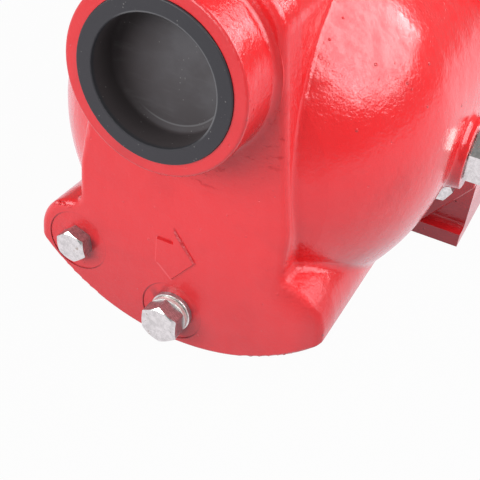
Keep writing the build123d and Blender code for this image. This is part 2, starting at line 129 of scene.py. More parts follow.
LEFT_BOLT = round_shaft(BOLT_CIRCLE, LEFT_BOLT_ANGLE, NOSE_Y + SPOT_DEPTH)
BOTTOM_BOLT = round_shaft(BOLT_CIRCLE, BOTTOM_BOLT_ANGLE, NOSE_Y + SPOT_DEPTH)


def colour(name, description, default):
    return FloatVectorProperty(
        name=name, description=description, subtype="COLOR", size=3, min=0.0, max=1.0, default=default,
    )


def length(name, description, default):
    return FloatProperty(
        name=name, description=description, subtype="DISTANCE", unit="LENGTH", default=default,
    )


def angle(name, description, default):
    return FloatProperty(
        name=name, description=description, subtype="ANGLE", default=math.radians(default),
    )


def share(name, description, default):
    return FloatProperty(
        name=name, description=description, subtype="FACTOR", min=0.0, max=1.0, default=default,
    )


def light_level(name, description, default):
    return FloatProperty(name=name, description=description, default=default)


class PumpFinishes(PropertyGroup):
    """Colours and surface of the pump's paint, metal and plastic."""

    red: colour("Red paint", "Gloss enamel over the castings", (0.76, 0.013, 0.016))
    # Also the colour of painted shade: on the foot, the lobe's side, low down, under the bolt heads and on
    # the arrow's upper edges
    red_shade: colour("Red in hollows", "Paint that has pooled or gathered dirt", (0.30, 0.006, 0.01))
    # Paler red for the painted highlight on the arrow's left and lower edges
    red_highlit: colour("Thin paint", "Paler red where the paint is thin on an edge", (0.82, 0.11, 0.12))
    zinc: colour("Zinc", "Bright zinc on bolts and washers", (0.80, 0.80, 0.775))
    # Darker zinc for the painted shade on the sides of the bolt heads
    forged_shade: colour("Forged sides", "Darker zinc on the sides of the bolt heads", (0.30, 0.27, 0.285))
    stain: colour("Stain", "Brown marks on the zinc", (0.30, 0.20, 0.13))
    iron: colour("Cut iron", "Bare cut threads in the castings", (0.30, 0.28, 0.26))
    plastic: colour("Port plug", "Charcoal plastic of the suction port plug", (0.023, 0.023, 0.028))
    plastic_cup: colour("Port plug cup", "Dusty bottom of the plug's cup", (0.100, 0.096, 0.104))
    plastic_wall: colour("Port plug wall", "Darker inside wall of the plug's cup", (0.044, 0.035, 0.037))
    black: colour("Motor enamel", "Black enamel of the motor", (0.016, 0.016, 0.018))
    waviness: length("Waviness", "Depth of the broad waves in the cast surface", 0.0003)
    orange_peel: length("Orange peel", "Depth of the fine ripple in the paint", 0.00015)
    pits: length("Pits", "Depth of pits and beads in the paint", 0.0002)
    boss_draft: share("Boss draft", "How much the suction boss widens towards the nose", 0.14)
    gloss: share("Paint roughness", "Roughness of the red paint", 0.12)


class PumpFittings(PropertyGroup):
    """Sizes of the small fittings, in metres."""

    bolt_flats: length("Bottom bolt", "Bottom nose bolt across its flats", 0.0127)
    bolt_head: length("Bottom bolt head", "Height of the bottom nose bolt's head", 0.0053)
    small_flats: length("Left bolt", "Left nose bolt across its flats", 0.0105)
    small_head: length("Left bolt head", "Height of the left nose bolt's head", 0.00484)
    bolt_shank: length("Bottom bolt shank", "Radius of the bottom nose bolt's shank", 0.004)
    small_shank: length("Left bolt shank", "Radius of the left nose bolt's shank", 0.0032)
    bolt_turn: angle("Bottom bolt turn", "How far the bottom bolt is screwed round", 32.4)
    small_turn: angle("Left bolt turn", "How far the left bolt is screwed round", 39.9)
    washer_under: length("Washer", "Thickness of the flat washer", 0.0016)
    washer_radius: length("Washer radius", "Outer radius of the flat washer", 0.0073)
    washer_slack: length("Washer slack", "How far the washers sit off the bolt's middle", 0.0005)
    lock_radius: length("Lock washer", "Outer radius of the lock washer", 0.0069)
    lock_hole: length("Lock washer hole", "Inner radius of the lock washer", 0.0041)
    lock_height: length("Lock washer height", "Height of the lock washer over its split", 0.0021)
    thread_pitch: length("Port thread pitch", "Pitch of the pipe thread in the discharge port", 0.0022)
    thread_radius: length("Port thread radius", "Radius of the discharge port at the thread's roots", 0.0151)
    thread_depth: length("Port thread depth", "Height of the thread's ridges", 0.0009)
    screw_flats: length("Cover screws", "Motor cover screws across their flats", 0.0055)


class PumpStudio(PropertyGroup):
    """Lamps, floor and camera."""

    camera_place: FloatVectorProperty(
        name="Camera place", description="Where the camera stands", subtype="TRANSLATION", unit="LENGTH",
        size=3, default=(0.10802, -0.38222, 0.22504),
    )
    camera_turn: angle("Camera turn", "Angle round the pump from the front", 22.66)
    camera_rise: angle("Camera rise", "Angle above the horizon", 36.77)
    camera_roll: angle("Camera roll", "Tilt of the picture", 6.91)
    lens: FloatProperty(name="Lens", description="Focal length", subtype="DISTANCE_CAMERA", default=69.45)
    floor_size: length("Floor", "Width of the floor", 12.0)
    floor_colour: colour("Floor colour", "Colour of the floor under the lamps", (0.22, 0.22, 0.22))
    mirrored_sheet: colour("Mirrored sheet", "Colour of the sheet as the paint mirrors it", (1.0, 0.94, 1.0))
    sheet_front: length("Sheet", "How far in front the white sheet under the pump reaches", 0.37)
    room_light: light_level("Room light", "Even light from the whole room", 0.30)
    key_light: light_level("Front softbox", "Brightness of the softbox in front", 5.9)
    side_light: light_level("Side softbox", "Brightness of the softbox on the right", 4.0)
    strip_light: light_level("Strips", "Brightness of the two narrow strips", 15.0)


class Value:
    """An output of a shader node, with sums that add their Math nodes."""

    def __init__(self, finish, socket):
        self.finish = finish
        self.socket = socket

    def maths(self, operation, *values):
        return self.finish.node("ShaderNodeMath", {"operation": operation}, dict(enumerate(values)))

    def __add__(self, other):
        return self.maths("ADD", self, other)

    def __radd__(self, other):
        return self.maths("ADD", other, self)

    def __sub__(self, other):
        return self.maths("SUBTRACT", self, other)

    def __rsub__(self, other):
        return self.maths("SUBTRACT", other, self)

    def __mul__(self, other):
        return self.maths("MULTIPLY", self, other)

    def __rmul__(self, other):
        return self.maths("MULTIPLY", other, self)

    def low(self, other):
        return self.maths("MINIMUM", self, other)

    def high(self, other):
        return self.maths("MAXIMUM", self, other)

    def size(self):
        return self.maths("ABSOLUTE", self)

    def root(self):
        return self.maths("SQRT", self)


class Finish:
    """A material under construction, built round one Principled shader."""

    def __init__(self, name):
        self.material = bpy.data.materials.new(name)
        self.material.use_nodes = True
        self.tree = self.material.node_tree
        self.tree.nodes.clear()
        self.output = self.tree.nodes.new("ShaderNodeOutputMaterial")
        self.shader = self.tree.nodes.new("ShaderNodeBsdfPrincipled")
        self.tree.links.new(self.shader.outputs[0], self.output.inputs[0])
        place = self.tree.nodes.new("ShaderNodeTexCoord")
        self.place = Value(self, place.outputs["Object"])
        split = self.node("ShaderNodeSeparateXYZ", {}, {0: self.place}).socket.node
        self.x, self.y, self.z = (Value(self, output) for output in split.outputs)
        self.normal = Value(self, place.outputs["Normal"])

    def fill(self, socket, value):
        if isinstance(value, Value):
            self.tree.links.new(value.socket, socket)
        elif socket.type == "RGBA" and len(value) == 3:
            socket.default_value = (*value, 1.0)
        else:
            socket.default_value = value

    def node(self, kind, settings=None, sockets=None, output=0):
        """Adds one node: its settings first, then the values or links of its sockets."""
        made = self.tree.nodes.new(kind)
        for name, value in (settings or {}).items():
            setattr(made, name, value)
        for name, value in (sockets or {}).items():
            if isinstance(name, int):
                socket = made.inputs[name]
            else:
                socket = next(s for s in made.inputs if s.identifier == name)
            self.fill(socket, value)
        return Value(self, made.outputs[output])

    def noise(self, scale, detail=2.0, roughness=0.5, place=None):
        return self.node(
            "ShaderNodeTexNoise", {"noise_dimensions": "3D"},
            {"Vector": place or self.place, "Scale": scale, "Detail": detail, "Roughness": roughness},
        )

    def cells(self, scale):
        """Distance to the nearest of many scattered points."""
        return self.node("ShaderNodeTexVoronoi", {"feature": "F1"}, {"Vector": self.place, "Scale": scale})

    def stretched(self, factors):
        """The place, scaled apart along the three axes."""
        return self.node("ShaderNodeVectorMath", {"operation": "MULTIPLY"}, {0: self.place, 1: factors})

    def ramp(self, value, low, high):
        """A smooth step from 0 at low to 1 at high."""
        return self.node(
            "ShaderNodeMapRange", {"interpolation_type": "SMOOTHSTEP", "clamp": True},
            {"Value": value, "From Min": low, "From Max": high, "To Min": 0.0, "To Max": 1.0},
        )

    def mix(self, factor, a, b):
        """Colour a where factor is 0, colour b where it is 1."""
        return self.node(
            "ShaderNodeMix", {"data_type": "RGBA"},
            {"Factor_Float": factor, "A_Color": a, "B_Color": b}, output=2,
        )

    def away_from(self, point):
        """Distance from a point of the pump."""
        return self.node(
            "ShaderNodeVectorMath", {"operation": "DISTANCE"}, {0: self.place, 1: point}, output=1,
        )

    def off_axis(self, point):
        """Distance from a line through a point along the pump."""
        across, above = self.x - point.x, self.z - point.z
        return (across * across + above * above).root()

    def facing(self, axis):
        """How far the surface faces along an axis, from -1 to 1."""
        return self.node(
            "ShaderNodeVectorMath", {"operation": "DOT_PRODUCT"}, {0: self.normal, 1: axis}, output=1,
        )

    def off_line(self, start, end):
        """Distance from a line between two points on the nose, seen along the pump."""
        along = (end[0] - start[0], end[1] - start[1])
        long = along[0] ** 2 + along[1] ** 2
        across, above = self.x - start[0], self.z - start[1]
        share_along = (across * (along[0] / long) + above * (along[1] / long)).high(0.0).low(1.0)
        across, above = across - share_along * along[0], above - share_along * along[1]
        return (across * across + above * above).root()

    def band(self, value, middle, half_width):
        """1 where value is at the middle, 0 beyond the half width."""
        return 1.0 - self.ramp((value - middle).size(), half_width * 0.4, half_width)

    def line(self, ends, half_width):
        """1 on a line between two points on the nose, 0 beyond the half width."""
        return self.band(self.off_line(*ends), 0.0, half_width)

    def bump(self, height):
        """Raises the surface by a height in metres."""
        sockets = {"Height": height, "Distance": 1.0, "Strength": 1.0}
        self.set("Normal", self.node("ShaderNodeBump", {}, sockets))

    def set(self, name, value):
        self.fill(self.shader.inputs[name], value)


def wear(finish, *names):
    """Gives CAD nodes one finish."""
    for name in names:
        mesh = NODES[name].data
        mesh.materials.clear()
        mesh.materials.append(finish.material)


def bridge(shape, rings, loop=True):
    """Joins rings of points with faces and returns the rings' vertices."""
    rows = [[shape.verts.new(point) for point in ring] for ring in rings]
    for first, second in zip(rows, rows[1:]):
        count = len(first)
        for i in range(count if loop else count - 1):
            j = (i + 1) % count
            shape.faces.new((first[i], first[j], second[j], second[i]))
    return rows


def circle(frame_at, radius, height, steps):
    """Points round a frame's third axis."""
    turns = (2 * math.pi * i / steps for i in range(steps))
    return [frame_at @ Vector((radius * math.cos(t), radius * math.sin(t), height)) for t in turns]


def finish_piece(name, shape, finish, crease=30.0):
    """Turns a bmesh into a piece of the pump that rides with it."""
    bmesh.ops.recalc_face_normals(shape, faces=shape.faces)
    for edge in shape.edges:
        edge.smooth = len(edge.link_faces) < 2 or edge.calc_face_angle() < math.radians(crease)
    mesh = bpy.data.meshes.new(name)
    shape.to_mesh(mesh)
    shape.free()
    for face in mesh.polygons:
        face.use_smooth = True
    mesh.materials.append(finish.material)
    piece = bpy.data.objects.new(name, mesh)
    bpy.context.scene.collection.objects.link(piece)
    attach(piece, "root")
    return piece


def seat(point, out, turn=0.0):
    """A frame with its origin at a point, whose third axis points out."""
    basis = out.to_track_quat("Z", "Y").to_matrix().to_4x4()
    return Matrix.Translation(point) @ basis @ Matrix.Rotation(turn, 4, "Z")


def front_seat(point, turn):
    """A frame on the nose face: first axis right, second up, third towards the front."""
    right, up = Vector((1.0, 0.0, 0.0)), Vector((0.0, 0.0, 1.0))
    basis = Matrix((right, up, OUT)).transposed().to_4x4()
    return Matrix.Translation(point) @ basis @ Matrix.Rotation(turn, 4, "Z")


def hex_head(shape, frame_at, flats, head, shank_radius, shank_length, steps=144):
    """A hex head with rounded corners and a chamfered top, on a round shank."""
    apothem = flats / 2
    top = flats / 2 * 0.96
    corner = 0.985
    limit = apothem / math.cos(math.radians(30)) * corner
    slope = math.tan(math.radians(30))
    dish = 0.00002

    def ring(size, height):
        """A ring of the head or shank; size 0 keeps the full hex, height None follows the chamfer."""
        points = []
        for i in range(steps):
            turn = 2 * math.pi * i / steps
            side = min(apothem / math.cos((turn % (math.pi / 3)) - math.pi / 6), limit)
            r = min(side, size) if size else side
            h = head - max(side - top, 0.0) * slope if height is None else height
            points.append(frame_at @ Vector((r * math.cos(turn), r * math.sin(turn), h)))
        return points

    rows = bridge(shape, [
        ring(shank_radius, -shank_length), ring(shank_radius, 0.0), ring(0, 0.0), ring(0, None),
        ring(top, head), ring(top * 0.97, head + dish), ring(top * 0.5, head + dish / 2), ring(0.0001, head),
    ])
    shape.faces.new(rows[0])
    shape.faces.new(rows[-1])


class PUMP_OT_paint_castings(Operator):
    """Red enamel over the casing, the seal plate and the foot"""

    bl_idname = "pump.paint_castings"
    bl_label = "Paint Castings"

    def execute(self, context):
        look = context.scene.pump_finishes
        paint = red_enamel(look)
        wear(paint, *CAST_NODES)
        return {"FINISHED"}


def red_enamel(look):
    """Gloss red enamel that follows the rough casting under it."""
    paint = Finish("red_enamel")
    patches = paint.noise(45.0, 3.0, 0.55)
    waves = paint.noise(95.0, 2.0, 0.5)
    ripple = paint.noise(420.0, 3.0, 0.62)
    grain = paint.noise(1050.0, 2.0, 0.55)
    sparse = paint.ramp(paint.noise(70.0, 1.0), 0.50, 0.62)
    pits = (1.0 - paint.ramp(paint.cells(270.0), 0.03, 0.11)) * sparse
    beaded = paint.ramp(paint.noise(33.0, 1.0), 0.40, 0.50)
    beads = (1.0 - paint.ramp(paint.cells(150.0), 0.03, 0.085)) * beaded

    # The machined ring round the suction port, and its darker outer edge
    off_port = paint.off_axis(PORT)
    on_ring = paint.ramp(PORT.y + 0.0007 - paint.y, 0.0, 0.0004)
    ring_edge = on_ring * paint.ramp(off_port, RING_RADIUS - 0.0008, RING_RADIUS)

    # The nose face, to 1.2 mm before and behind it, and the ring
    in_front = paint.ramp(NOSE_Y + 0.0012 - paint.y, 0.0, 0.0005)
    far_in_front = paint.ramp(NOSE_Y - 0.0012 - paint.y, 0.0, 0.0005)
    on_nose = in_front * (1.0 - far_in_front).high(on_ring)

    # Darkening round the bolts, part soil and part painted shade: a dark line at each spot face, heavier on
    # its lower left, and a dark patch under the heads
    grime_and_shade = None
    for bolt, smudge_shade in ((LEFT_BOLT, LEFT_SMUDGE_SHADE), (BOTTOM_BOLT, BOTTOM_SMUDGE_SHADE)):
        off_bolt = paint.off_axis(bolt)
        broken_up = paint.ramp(paint.noise(160.0, 2.0), 0.42, 0.6)
        lower_left = 1.0 - paint.ramp((paint.x - bolt.x) + (paint.z - bolt.z), -0.002, 0.009)
        rim = paint.band(off_bolt, SPOT_RADIUS, 0.00035) * (0.15 + lower_left * 0.5)
        here = rim + (1.0 - paint.ramp(off_bolt, smudge_shade * 0.8, smudge_shade * 1.3)) * broken_up * 0.7
        grime_and_shade = here if grime_and_shade is None else grime_and_shade.high(here)
    grime_and_shade = grime_and_shade * on_nose

    # Specks in the hollow under the suction boss
    below = paint.band(off_port, HOLLOW_RADIUS, 0.008) * paint.ramp(PORT.z - paint.z, 0.0, 0.01)
    below = below * (1.0 - paint.ramp(paint.y, -0.172, -0.166))
    speckle = paint.noise(430.0, 3.0, 0.7, place=paint.stretched((0.55, 1.0, 1.2)))
    specks = paint.ramp(speckle, 0.57, 0.66) * below

    # The rough corner where the tower meets the right lobe, and the crease beside the tower's top
    corner = 1.0 - paint.ramp(paint.away_from(LOBE_CORNER), 0.004, 0.015)
    crease = 1.0 - paint.ramp(paint.away_from(TOWER_CREASE), 0.003, 0.010)

    # The clear film over the red, patchy on the upper bulb and even elsewhere
    mottle = paint.noise(190.0, 6.0, 0.78, place=paint.stretched((1.0, 1.6, 0.8)))
    patchy = paint.ramp(mottle, 0.42, 0.60)
    upper = paint.ramp(paint.z, 0.085, 0.115) * (1.0 - on_nose)
    film = 0.08 + patchy * (0.12 + upper * 0.58) + (1.0 - upper) * 0.25 + on_nose * 0.2

    # Painted shade on the foot, on the lobe's side and low down
    foot_shade = (1.0 - paint.ramp(paint.z, 0.014, 0.024)) * paint.ramp(paint.y, -0.085, -0.075) * 0.3
    lobe_shade = paint.ramp(paint.x, 0.042, 0.050) * (1.0 - paint.ramp(paint.z, 0.044, 0.054))
    lobe_shade = lobe_shade * (1.0 - paint.ramp(paint.y, -0.150, -0.135)) * 0.26
    low_shade = (1.0 - paint.ramp(paint.z, 0.005, 0.060)) * 0.36

    # The suction boss narrows towards its mouth, as castings do, in its shading alone
    draft = (paint.y - PORT.y - 0.0008).high(0.0).low(0.026) * look.boss_draft

    # The arrow's edges: darker on its upper sides, a painted shade, and paler on the others, a painted
    # highlight
    near_face = 1.0 - paint.ramp(paint.y, NOSE_Y + 0.001, NOSE_Y + 0.002)
    shaded = paint.line(ARROW_TOP, 0.0006).high(paint.line(ARROW_TAIL_TOP, 0.0005)) * near_face
    highlit = paint.line(ARROW_BACK, 0.00045).high(paint.line(ARROW_HEEL, 0.00045)) * near_face

    # Darkening from random patches, pits, specks, the ring and its edge and soil round the bolts, with
    # painted shade on the foot, the lobe's side, low down and under the bolt heads
    dirt_and_shade = (
        paint.ramp(patches, 0.5, 0.8) * 0.22 + pits * 0.12 + specks * 0.3 + foot_shade + lobe_shade
        + ring_edge * 0.15 + on_ring * 0.12 + low_shade + grime_and_shade * 0.85
    ).low(1.0)
    base = paint.mix(highlit * 0.5, paint.mix(dirt_and_shade, look.red, look.red_shade), look.red_highlit)
    paint.set("Base Color", paint.mix(shaded * 0.35, base, look.red_shade))
    paint.set("Roughness", look.gloss + patches * 0.08 + on_nose * 0.18 + dirt_and_shade * 0.2 + corner * 0.25)
    paint.set("Specular IOR Level", 0.66)
    paint.set("Specular Tint", (1.0, 0.92, 1.0))
    paint.set("Coat Weight", film * (1.0 - shaded.high(corner * 0.8).high(specks)))
    paint.set("Coat Roughness", 0.14)
    paint.bump(
        waves * look.waviness * (1.0 + crease * 2.5)
        + ripple * (0.45 + patches) * (1.0 + corner * 2.6 + crease + below) * look.orange_peel
        + grain * look.orange_peel * 0.6
        + (beads * (2.4 - on_nose * 1.6) - pits * 0.6 - specks * 0.2) * look.pits
        + draft
    )
    return paint


class PUMP_OT_add_paint_beads(Operator):
    """Beads and sags of thick paint, and flash on the nose's rim"""

    bl_idname = "pump.add_paint_beads"
    bl_label = "Add Paint Beads"

    def execute(self, context):
        look = context.scene.pump_finishes
        chance = random.Random(7)
        shape = bmesh.new()
        for turn, long, proud in RIM_FLASH:
            centre = round_shaft(NOSE_RADIUS - 0.0002, turn, NOSE_Y + 0.0012)
            lump(shape, centre, turn, long * MM, proud * MM, chance)
        for x, z, long, proud in PAINT_SAG:
            centre = Vector((x, NOSE_Y + 0.0005, z))
            lump(shape, centre, PAINT_SAG_TILT, long * MM, proud * MM, chance)
        finish_piece("rim_flash", shape, red_enamel(look), crease=80.0)
        return {"FINISHED"}


def lump(shape, centre, turn, long, proud, chance):
    """A small uneven lump on the nose's edge, long along it and proud of it."""
    made = bmesh.ops.create_icosphere(shape, subdivisions=3, radius=1.0)["verts"]
    offset = Vector((chance.uniform(0, 9), chance.uniform(0, 9), chance.uniform(0, 9)))
    frame_at = Matrix.Translation(centre) @ Matrix.Rotation(-math.radians(turn), 4, "Y")
    for vert in made:
        swell = 1.0 + 0.35 * noise.noise(vert.co * 1.7 + offset)
        x, y, z = vert.co
        vert.co = frame_at @ Vector((x * proud * swell, y * 0.8 * MM * swell, z * long / 2 * swell))


class PUMP_OT_finish_port_plug(Operator):
    """Charcoal plastic for the suction port plug"""

    bl_idname = "pump.finish_port_plug"
    bl_label = "Finish Port Plug"

    def execute(self, context):
        look = context.scene.pump_finishes
        plastic = Finish("charcoal_plastic")
        grain = plastic.noise(1100.0, 3.0, 0.6)
        cloud = plastic.noise(75.0, 4.0, 0.6)
        dusted = plastic.ramp(plastic.noise(140.0, 1.0), 0.5, 0.6)
        dust = (1.0 - plastic.ramp(plastic.cells(650.0), 0.05, 0.16)) * dusted
        drawn = plastic.noise(60.0, 3.0, 0.7, place=plastic.stretched((1.0, 1.0, 5.0)))
        streaks = plastic.ramp(drawn, 0.5, 0.75)

        # The cup: its wall, its bottom, its mouth and the line round the bottom; the line and the mouth's
        # upper right carry painted highlights
        off_port = plastic.off_axis(PORT)
        across = plastic.x - PORT.x
        above = plastic.z - PORT.z
        upper_right = plastic.ramp(across + above, 0.0, 0.012)
        lower_right = plastic.ramp(across - above, 0.002, 0.014)
        deep = plastic.ramp(plastic.y, PORT.y + 0.0002, PORT.y + 0.0012)
        inside = 1.0 - plastic.ramp(off_port, CUP_RADIUS - 0.0004, CUP_RADIUS)
        bottom = inside * plastic.ramp(plastic.y, PORT.y + 0.0070, PORT.y + 0.0102)
        mouth = plastic.band(off_port, CUP_MOUTH_RADIUS, 0.0005) * (1.0 - deep)
        line = plastic.band(off_port, CUP_LINE_RADIUS, 0.00035) * bottom * lower_right

        # Dust on the cup's bottom, with painted shade that darkens it towards its left and low down
        dust_and_shade = 0.45 + plastic.ramp(cloud, 0.3, 0.75) * 0.55
        dust_and_shade = dust_and_shade * plastic.ramp(plastic.x, PORT.x - 0.018, PORT.x + 0.001)
        dust_and_shade = dust_and_shade * (0.6 + plastic.ramp(plastic.z, PORT.z - 0.017, PORT.z - 0.002) * 0.4)
        floor = plastic.mix(dust_and_shade, look.plastic_wall, look.plastic_cup)

        base = plastic.mix(deep, look.plastic, look.plastic_wall)
        base = plastic.mix(bottom, base, plastic.mix(streaks * 0.12, floor, PLUG_STREAK))
        # Painted highlight on the line round the bottom, on its lower right
        base = plastic.mix(line * 0.3, base, PLUG_LINE_HIGHLIGHT)
        # Painted highlight on the upper right of the mouth
        base = plastic.mix(mouth * upper_right * 0.5, base, PLUG_MOUTH_HIGHLIGHT)
        plastic.set("Base Color", plastic.mix(dust * 0.5, base, PLUG_DUST))
        plastic.set("Roughness", 0.34 + cloud * 0.16 + dust * 0.2 + deep * 0.4 + mouth * 0.3)
        plastic.bump(grain * 0.00004 + cloud * 0.0001 + dust * 0.00004)
        wear(plastic, "suction_port_plug")
        return {"FINISHED"}


def bright_zinc(look, name, axis=None, dull_by=0.0, metal=1.0):
    """Bright zinc with scratches and brown marks, with painted shade darkening the sides that lie along the
    axis.
    """
    zinc = Finish(name)
    scratch = zinc.noise(260.0, 3.0, 0.6, place=zinc.stretched((9.0, 1.0, 1.4)))
    dull = zinc.noise(520.0, 4.0, 0.7)
    marks = zinc.ramp(zinc.noise(420.0, 3.0, 0.6), 0.67, 0.73)
    base = zinc.mix(zinc.ramp(dull, 0.35, 0.65) * 0.7, look.zinc, tuple(c * 0.66 for c in look.zinc))
    rough = 0.13 + dull_by + scratch * 0.10 + marks * 0.25
    if axis is not None:
        # The sides of the heads: painted shade in darker zinc, with drawn streaks, and rougher
        side = 1.0 - zinc.ramp(zinc.facing(axis).size(), 0.15, 0.45)
        drawn = zinc.noise(900.0, 3.0, 0.7, place=zinc.stretched((1.0, 6.0, 1.0)))
        pale = tuple(c * 1.9 for c in look.forged_shade)
        base = zinc.mix(side, base, zinc.mix(zinc.ramp(drawn, 0.4, 0.62), look.forged_shade, pale))
        rough = rough + side * 0.16
        zinc.set("Metallic", 1.0 - side * 0.25)
    else:
        zinc.set("Metallic", metal)
    zinc.set("Base Color", zinc.mix(marks * 0.55, base, look.stain))
    zinc.set("Roughness", rough)
    zinc.bump(scratch * 0.00002 + dull * 0.00006)
    return zinc


class PUMP_OT_finish_fasteners(Operator):
    """Bright zinc on the bolts, washers and plugs, with detailed nose bolts"""

    bl_idname = "pump.finish_fasteners"
    bl_label = "Finish Fasteners"

    def execute(self, context):
        fit = context.scene.pump_fittings
        look = context.scene.pump_finishes
        zinc = bright_zinc(look, "bright_zinc")
        bolt_zinc = bright_zinc(look, "bolt_zinc", OUT)
        washer_zinc = bright_zinc(look, "washer_zinc", dull_by=0.2, metal=0.45)
        wear(bolt_zinc, *BOLT_NODES)
        wear(zinc, *PLUG_NODES)

        shape = bmesh.new()
        place = front_seat(LEFT_BOLT, fit.small_turn)
        hex_head(shape, place, fit.small_flats, fit.small_head, fit.small_shank, SHANK_LENGTH)
        piece = finish_piece("left_bolt_turned", shape, bolt_zinc, crease=22.0)
        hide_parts("left_nose_bolt")

        stack = fit.washer_under + fit.lock_height
        shape = bmesh.new()
        place = front_seat(BOTTOM_BOLT + OUT * stack, fit.bolt_turn)
        hex_head(shape, place, fit.bolt_flats, fit.bolt_head, fit.bolt_shank, SHANK_LENGTH + stack)
        piece = finish_piece("bottom_bolt_turned", shape, bolt_zinc, crease=22.0)
        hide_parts("bottom_nose_bolt")

        slack = Vector((fit.washer_slack * 0.6, 0.0, fit.washer_slack * 0.8))
        shape = bmesh.new()
        flat_washer(shape, front_seat(BOTTOM_BOLT + slack, 0.0), fit)
        piece = finish_piece("plain_washer", shape, bolt_zinc, crease=40.0)
        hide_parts("bottom_bolt_flat_washer")

        shape = bmesh.new()
        place = front_seat(BOTTOM_BOLT + slack * 0.6 + OUT * fit.washer_under, math.radians(200))
        split_washer(shape, place, fit)
        piece = finish_piece("split_lock_washer", shape, washer_zinc, crease=40.0)
        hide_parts("bottom_bolt_lock_washer")
        return {"FINISHED"}


def flat_washer(shape, frame_at, fit, edge=0.0003, steps=90):
    """A stamped washer with one rounded edge."""
    outer = fit.washer_radius
    inner = fit.lock_hole + 0.0001
    thick = fit.washer_under
    section = (
        (inner, 0.0), (outer, 0.0), (outer, thick - edge), (outer - edge * 0.3, thick - edge * 0.3),
        (outer - edge, thick), (inner, thick), (inner, 0.0),
    )
    bridge(shape, [circle(frame_at, r, h, steps) for r, h in section])
    bmesh.ops.remove_doubles(shape, verts=shape.verts, dist=0.000001)


def split_washer(shape, frame_at, fit, rise=0.0003, gap=5.0, steps=90):
    """A lock washer of square wire with rounded edges, cut and sprung at one side."""
    thick = fit.lock_height - rise
    edge = 0.0003
    outer = fit.lock_radius
    inner = fit.lock_hole
    section = (
        (inner + edge, 0.0), (outer - edge, 0.0), (outer - edge * 0.3, edge * 0.3), (outer, edge),
        (outer, thick - edge), (outer - edge * 0.3, thick - edge * 0.3), (outer - edge, thick),
        (inner + edge, thick), (inner, thick - edge), (inner, edge),
    )
    rings = []
    for i in range(steps + 1):
        along = i / steps
        turn = math.radians(gap / 2 + (360.0 - gap) * along)
        lift = rise * along
        rings.append([
            frame_at @ Vector((r * math.cos(turn), r * math.sin(turn), h + lift)) for r, h in section
        ])
    rows = bridge(shape, rings)
    shape.faces.new(rows[0])
    shape.faces.new(rows[-1])


class PUMP_OT_cut_port_thread(Operator):
    """Pipe thread in the discharge port"""

    bl_idname = "pump.cut_port_thread"
    bl_label = "Cut Port Thread"

    def execute(self, context):
        fit = context.scene.pump_fittings
        look = context.scene.pump_finishes
        iron = Finish("cut_iron")
        grain = iron.noise(900.0, 3.0, 0.6)
        rust = iron.ramp(iron.noise(190.0, 3.0, 0.6), 0.55, 0.7)
        iron.set("Base Color", iron.mix(rust * 0.7, look.iron, RUST))
        iron.set("Metallic", 0.9)
        iron.set("Roughness", 0.38 + grain * 0.2 + rust * 0.2)
        iron.bump(grain * 0.00006)

        # A ridge that winds down from just inside the mouth and fades at both ends
        steps = 72
        turns = 9
        pitch = fit.thread_pitch
        root = fit.thread_radius + 0.0001
        shape = bmesh.new()
        rings = []
        for i in range(steps * turns + 1):
            turn = 2 * math.pi * i / steps
            top = DISCHARGE_TOP - 0.0012 - pitch * i / steps
            fade = min(1.0, i / (steps * 0.5), (steps * turns - i) / (steps * 0.5))
            crest = fit.thread_radius - fit.thread_depth * fade
            profile = ((root, 0.0), (crest, pitch * 0.42), (crest, pitch * 0.58), (root, pitch))
            rings.append([
                Vector((BULB.x + r * math.cos(turn), BULB.y + r * math.sin(turn), top - drop))
                for r, drop in profile
            ])
        bridge(shape, rings, loop=False)
        finish_piece("discharge_thread", shape, iron, crease=20.0)
        return {"FINISHED"}


def black_enamel(look):
    """Black enamel with a light orange peel and a little dust."""
    enamel = Finish("black_enamel")
    peel = enamel.noise(520.0, 2.0, 0.5)
    broad = enamel.noise(40.0, 3.0, 0.55)
    dust = enamel.ramp(enamel.noise(900.0, 2.0, 0.7), 0.62, 0.75) * enamel.ramp(broad, 0.45, 0.7)
    base = enamel.mix(broad * 0.5, look.black, tuple(c * 1.8 for c in look.black))
    enamel.set("Base Color", enamel.mix(dust * 0.25, base, MOTOR_DUST))
    enamel.set("Roughness", 0.26 + broad * 0.14 + dust * 0.2)
    enamel.bump(peel * 0.00009 + broad * 0.0001)
    return enamel


class PUMP_OT_finish_motor(Operator):
    """Black enamel on the motor, and the screws of its covers"""

    bl_idname = "pump.finish_motor"
    bl_label = "Finish Motor"

    def execute(self, context):
        look = context.scene.pump_finishes
        fit = context.scene.pump_fittings
        wear(black_enamel(look), *MOTOR_NODES)
        zinc = bright_zinc(look, "screw_zinc")

        # Capacitor cover: four screws through its flanges, square to the shell
        low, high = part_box("capacitor_cover")
        shell_low, shell_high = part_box("motor_shell")
        flange_skin = 0.0016
        radius = (shell_high[0] - shell_low[0]) / 2 + flange_skin
        inset = 0.014
        shape = bmesh.new()
        for side in (-1, 1):
            for y in (low[1] + inset, high[1] - inset):
                lean = math.radians(24.0) * side
                out = Vector((math.sin(lean), 0.0, math.cos(lean)))
                place = seat(Vector((0.0, y, SHAFT_Z)) + out * radius, out, y * 40)
                screw(shape, place, fit.screw_flats)
        finish_piece("capacitor_cover_screws", shape, zinc)

        # Terminal cover: three screws through its side, square to it
        low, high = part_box("motor_terminal_cover")
        lip_width = 0.0015
        radius = (high[0] - low[0]) / 2 - lip_width
        inset = 0.009
        shape = bmesh.new()
        for turn in (0.0, 180.0, 90.0):
            out = round_shaft(1.0, turn, 0.0) - Vector((0.0, 0.0, SHAFT_Z))
            place = seat(round_shaft(radius, turn, low[1] + inset), out, 0.3 + turn)
            screw(shape, place, fit.screw_flats)
        finish_piece("terminal_cover_screws", shape, zinc)
        return {"FINISHED"}


